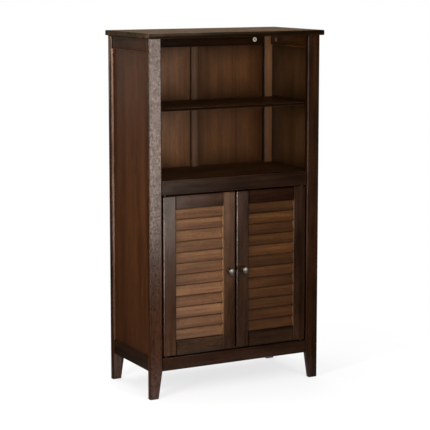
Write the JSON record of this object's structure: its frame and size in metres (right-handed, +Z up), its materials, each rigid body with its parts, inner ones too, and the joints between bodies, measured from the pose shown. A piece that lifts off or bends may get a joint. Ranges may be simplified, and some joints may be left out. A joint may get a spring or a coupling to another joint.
{
  "type": "bathroom cabinet",
  "caption": "Free-standing dark wood cabinet with an open shelf bay above a cupboard closed by a pair of louvred doors, on tapered board legs",
  "frame": {"origin": "on the floor, under the middle of the whole cabinet with its knobs", "axes": "+Z up, the doors face -Y, +X to the right of a person who looks at the doors"},
  "size_m": [0.612, 0.322, 1.118],
  "materials": {
    "dark_wood": "dark stain under satin lacquer",
    "panel_wood": "stained veneer, satin",
    "nickel": "satin nickel plate",
    "zinc": "zinc die casting",
    "steel": "zinc plated",
    "catch_plastic": "moulded, dark brown"
  },
  "bodies": {
    "cabinet": {"top_panel": "dark_wood", "front_left_leg": "dark_wood", "front_right_leg": "dark_wood", "rear_left_leg": "dark_wood", "rear_right_leg": "dark_wood", "left_top_side_rail": "dark_wood", "left_bottom_side_rail": "dark_wood", "right_top_side_rail": "dark_wood", "right_bottom_side_rail": "dark_wood", "left_side_panel": "panel_wood", "right_side_panel": "panel_wood", "back_top_rail": "dark_wood", "back_bottom_rail": "dark_wood", "back_centre_stile": "dark_wood", "back_panel": "panel_wood", "front_middle_rail": "dark_wood", "front_bottom_rail": "dark_wood", "fixed_shelf": "dark_wood", "floor_panel": "dark_wood", "adjustable_shelf": "dark_wood", "shelf_pins": "steel", "cam_fittings": "zinc", "magnetic_catch": "catch_plastic", "pivot_pins": "steel"},
    "left_door": {"left_door_hinge_stile": "dark_wood", "left_door_latch_stile": "dark_wood", "left_door_top_rail": "dark_wood", "left_door_bottom_rail": "dark_wood", "left_knob": "nickel", "left_strike_plate": "steel", "left_door_slat_01": "dark_wood", "left_door_slat_02": "dark_wood", "left_door_slat_03": "dark_wood", "left_door_slat_04": "dark_wood", "left_door_slat_05": "dark_wood", "left_door_slat_06": "dark_wood", "left_door_slat_07": "dark_wood", "left_door_slat_08": "dark_wood", "left_door_slat_09": "dark_wood", "left_door_slat_10": "dark_wood", "left_door_slat_11": "dark_wood", "left_door_slat_12": "dark_wood"},
    "right_door": {"right_door_hinge_stile": "dark_wood", "right_door_latch_stile": "dark_wood", "right_door_top_rail": "dark_wood", "right_door_bottom_rail": "dark_wood", "right_knob": "nickel", "right_strike_plate": "steel", "right_door_slat_01": "dark_wood", "right_door_slat_02": "dark_wood", "right_door_slat_03": "dark_wood", "right_door_slat_04": "dark_wood", "right_door_slat_05": "dark_wood", "right_door_slat_06": "dark_wood", "right_door_slat_07": "dark_wood", "right_door_slat_08": "dark_wood", "right_door_slat_09": "dark_wood", "right_door_slat_10": "dark_wood", "right_door_slat_11": "dark_wood", "right_door_slat_12": "dark_wood"}
  },
  "joints": [
    {"name": "left_door_hinge", "type": "hinge", "parent": "cabinet", "child": "left_door", "pos_m": [-0.242, -0.127, 0.37775], "axis": [0, 0, -1], "range_deg": [0, 105]},
    {"name": "right_door_hinge", "type": "hinge", "parent": "cabinet", "child": "right_door", "pos_m": [0.242, -0.127, 0.37775], "axis": [0, 0, 1], "range_deg": [0, 105]}
  ]
}
